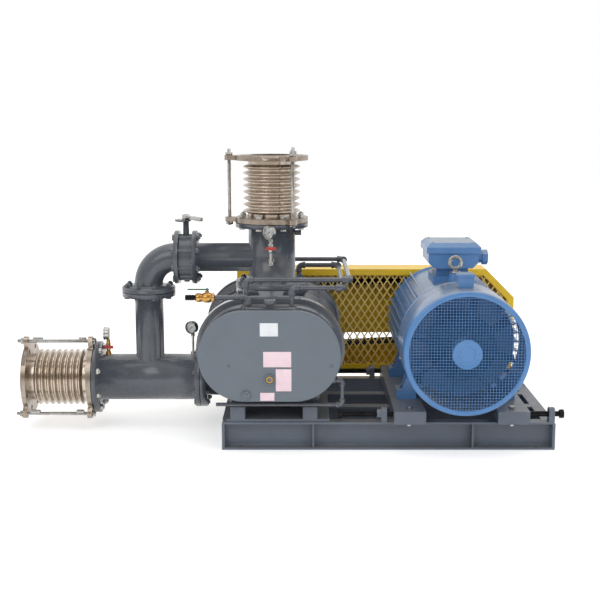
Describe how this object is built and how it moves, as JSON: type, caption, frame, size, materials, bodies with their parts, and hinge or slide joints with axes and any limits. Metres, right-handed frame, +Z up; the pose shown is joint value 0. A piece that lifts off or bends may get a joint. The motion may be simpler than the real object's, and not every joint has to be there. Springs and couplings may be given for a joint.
{
  "type": "roots vacuum pump set",
  "caption": "Belt-driven two-lobe roots vacuum pump on a channel base with motor, mesh belt guard, bellows, bypass valve and water piping.",
  "frame": {"origin": "on the floor at the middle of the base frame's footprint", "axes": "+X towards the motor, +Y towards the belt guard, +Z up"},
  "size_m": [2.502, 1.147, 1.313],
  "materials": {
    "base_paint": "satin",
    "pump_paint": "satin",
    "cover_paint": "satin",
    "pipe_paint": "gloss",
    "small_pipe_paint": "gloss",
    "black_steel": "satin",
    "zinc_steel": "satin",
    "stainless": "brushed",
    "flange_steel": "satin",
    "rotor_iron": "machined",
    "gear_steel": "ground",
    "bearing_steel": "polished",
    "pulley_iron": "machined",
    "belt_rubber": "matt",
    "guard_yellow": "satin",
    "mesh_yellow": "satin",
    "motor_blue": "satin",
    "cowl_blue": "satin",
    "fan_blue": "satin",
    "shaft_steel": "turned",
    "stator_iron": "laminated",
    "gasket_fibre": "matt",
    "valve_brass": "cast",
    "handle_green": "satin",
    "handle_red": "gloss",
    "gauge_black": "gloss",
    "gauge_glass": "clear",
    "pointer_black": "matt"
  },
  "bodies": {
    "pump_set": {"base_channels": "base_paint", "pump_sole_plate": "base_paint", "jack_brackets": "base_paint", "pump_casing": "pump_paint", "gear_end_plate": "pump_paint", "drive_end_plate": "pump_paint", "gear_case": "pump_paint", "bearing_covers": "pump_paint", "gear_case_cover": "cover_paint", "riser_pipe": "pipe_paint", "branch_elbow": "pipe_paint", "discharge_pipe": "pipe_paint", "valve_body": "pipe_paint", "cooling_pipes": "small_pipe_paint", "bellows_tie_rods": "zinc_steel", "inlet_bellows": "stainless", "discharge_bellows": "stainless", "bellows_fixed_flanges": "flange_steel", "rotor_bearings": "bearing_steel", "v_belts": "belt_rubber", "guard_frame": "guard_yellow", "guard_back": "guard_yellow", "guard_mesh": "mesh_yellow", "gaskets": "gasket_fibre", "water_valve_body": "valve_brass", "gauge_cocks": "valve_brass", "oil_fittings": "valve_brass", "gauge_cases": "gauge_black", "gauge_glasses": "gauge_glass"},
    "drive_rotor_set": {"drive_rotor": "rotor_iron", "drive_timing_gear": "gear_steel", "pump_pulley": "pulley_iron"},
    "driven_rotor_set": {"driven_rotor": "rotor_iron", "driven_timing_gear": "gear_steel"},
    "motor_carriage": {"motor_rails": "base_paint", "motor_mounting_bolts": "zinc_steel", "jack_screws": "black_steel", "motor_frame": "motor_blue", "motor_end_shields": "motor_blue", "motor_bearings": "bearing_steel", "motor_stator": "stator_iron", "fan_cowl": "cowl_blue", "terminal_box": "motor_blue", "terminal_box_lid": "motor_blue", "lifting_eye": "motor_blue", "aux_box": "motor_blue"},
    "motor_spindle": {"motor_rotor": "shaft_steel", "motor_fan": "fan_blue", "motor_pulley": "pulley_iron"},
    "bypass_valve_disc": {"valve_disc": "stainless", "valve_lever": "zinc_steel"},
    "water_valve_handle": {"water_valve_lever": "handle_green"},
    "riser_cock_handle": {"riser_cock_lever": "handle_red"},
    "discharge_cock_handle": {"discharge_cock_lever": "handle_red"},
    "riser_pointer": {"riser_gauge_pointer": "pointer_black"},
    "discharge_pointer": {"discharge_gauge_pointer": "pointer_black"},
    "outlet_pointer": {"outlet_gauge_pointer": "pointer_black"},
    "inlet_end": {"inlet_free_flange": "flange_steel"},
    "discharge_end": {"discharge_free_flange": "flange_steel"}
  },
  "joints": [
    {"name": "drive_rotor_spin", "type": "hinge", "parent": "pump_set", "child": "drive_rotor_set", "pos_m": [-0.417, 0, 0.44], "axis": [0, 1, 0], "continuous": true},
    {"name": "driven_rotor_spin", "type": "hinge", "parent": "pump_set", "child": "driven_rotor_set", "pos_m": [-0.633, 0, 0.44], "axis": [0, 1, 0], "continuous": true},
    {"name": "motor_slide", "type": "slide", "parent": "pump_set", "child": "motor_carriage", "axis": [1, 0, 0], "range_m": [-0.02, 0.03], "deforming": ["v_belts"]},
    {"name": "motor_spin", "type": "hinge", "parent": "motor_carriage", "child": "motor_spindle", "pos_m": [0.32, 0, 0.464], "axis": [0, 1, 0], "continuous": true},
    {"name": "bypass_valve_turn", "type": "hinge", "parent": "pump_set", "child": "bypass_valve_disc", "pos_m": [-0.927, 0.0025, 0.807], "axis": [0, 0, 1], "range_deg": [-30, 60]},
    {"name": "water_valve_turn", "type": "hinge", "parent": "pump_set", "child": "water_valve_handle", "pos_m": [-0.798, -0.4, 0.683], "axis": [0, 0, 1], "range_deg": [0, 90]},
    {"name": "riser_cock_turn", "type": "hinge", "parent": "pump_set", "child": "riser_cock_handle", "pos_m": [-0.525, -0.213, 0.875], "axis": [0, 1, 0], "range_deg": [0, 90]},
    {"name": "discharge_cock_turn", "type": "hinge", "parent": "pump_set", "child": "discharge_cock_handle", "pos_m": [-1.308, -0.0075, 0.377], "axis": [0, 1, 0], "range_deg": [0, 90]},
    {"name": "riser_pointer_turn", "type": "hinge", "parent": "pump_set", "child": "riser_pointer", "pos_m": [-0.53114, -0.20958, 0.946], "axis": [0.682, 0.7314, 0], "range_deg": [0, 270]},
    {"name": "discharge_pointer_turn", "type": "hinge", "parent": "pump_set", "child": "discharge_pointer", "pos_m": [-1.317, 0.0025, 0.44], "axis": [1, 0, 0], "range_deg": [0, 270]},
    {"name": "outlet_pointer_turn", "type": "hinge", "parent": "pump_set", "child": "outlet_pointer", "pos_m": [-0.9078, -0.00566, 0.471], "axis": [0.4226, 0.9063, 0], "range_deg": [0, 270]},
    {"name": "inlet_bellows_give", "type": "slide", "parent": "pump_set", "child": "inlet_end", "axis": [0, 0, -1], "range_m": [0, 0.012], "stiffness_N_per_m": 60000, "deforming": ["inlet_bellows"]},
    {"name": "discharge_bellows_give", "type": "slide", "parent": "pump_set", "child": "discharge_end", "axis": [1, 0, 0], "range_m": [0, 0.012], "stiffness_N_per_m": 60000, "deforming": ["discharge_bellows"]}
  ],
  "couplings": [
    {"joint": "driven_rotor_spin", "follows": "drive_rotor_spin", "ratio": -1},
    {"joint": "motor_spin", "follows": "drive_rotor_spin", "ratio": 1.0952}
  ]
}
